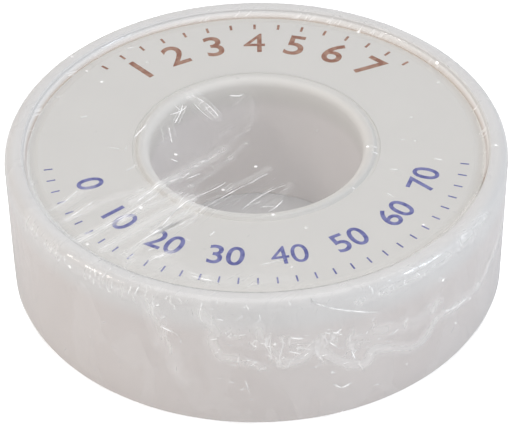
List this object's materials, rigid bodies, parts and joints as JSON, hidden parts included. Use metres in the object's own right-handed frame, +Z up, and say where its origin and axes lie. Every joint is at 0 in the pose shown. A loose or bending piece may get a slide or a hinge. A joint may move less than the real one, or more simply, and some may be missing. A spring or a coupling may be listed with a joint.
{
  "type": "desoldering braid",
  "caption": "Flat round reel of copper desoldering braid: plastic cup shell, face disc with hub bore, wound braid inside, all in clear shrink film.",
  "frame": {"origin": "centre of the underside, on the reel's axis, at the height of the surface it lies on", "axes": "+Z up along the reel's axis and out of the printed face; -Y towards the front of the picture"},
  "size_m": [0.076, 0.076, 0.0237],
  "materials": {
    "shell": "off-white moulded polystyrene, satin, slightly translucent",
    "spool": "off-white moulded polystyrene, satin, printed in brown and blue ink",
    "braid": "bare woven copper, dulled by flux",
    "film": "clear glossy polyolefin shrink film, wrinkled"
  },
  "bodies": {
    "root": {"shell": "shell", "spool": "spool", "braid_roll": "braid", "shrink_film": "film"}
  },
  "joints": []
}
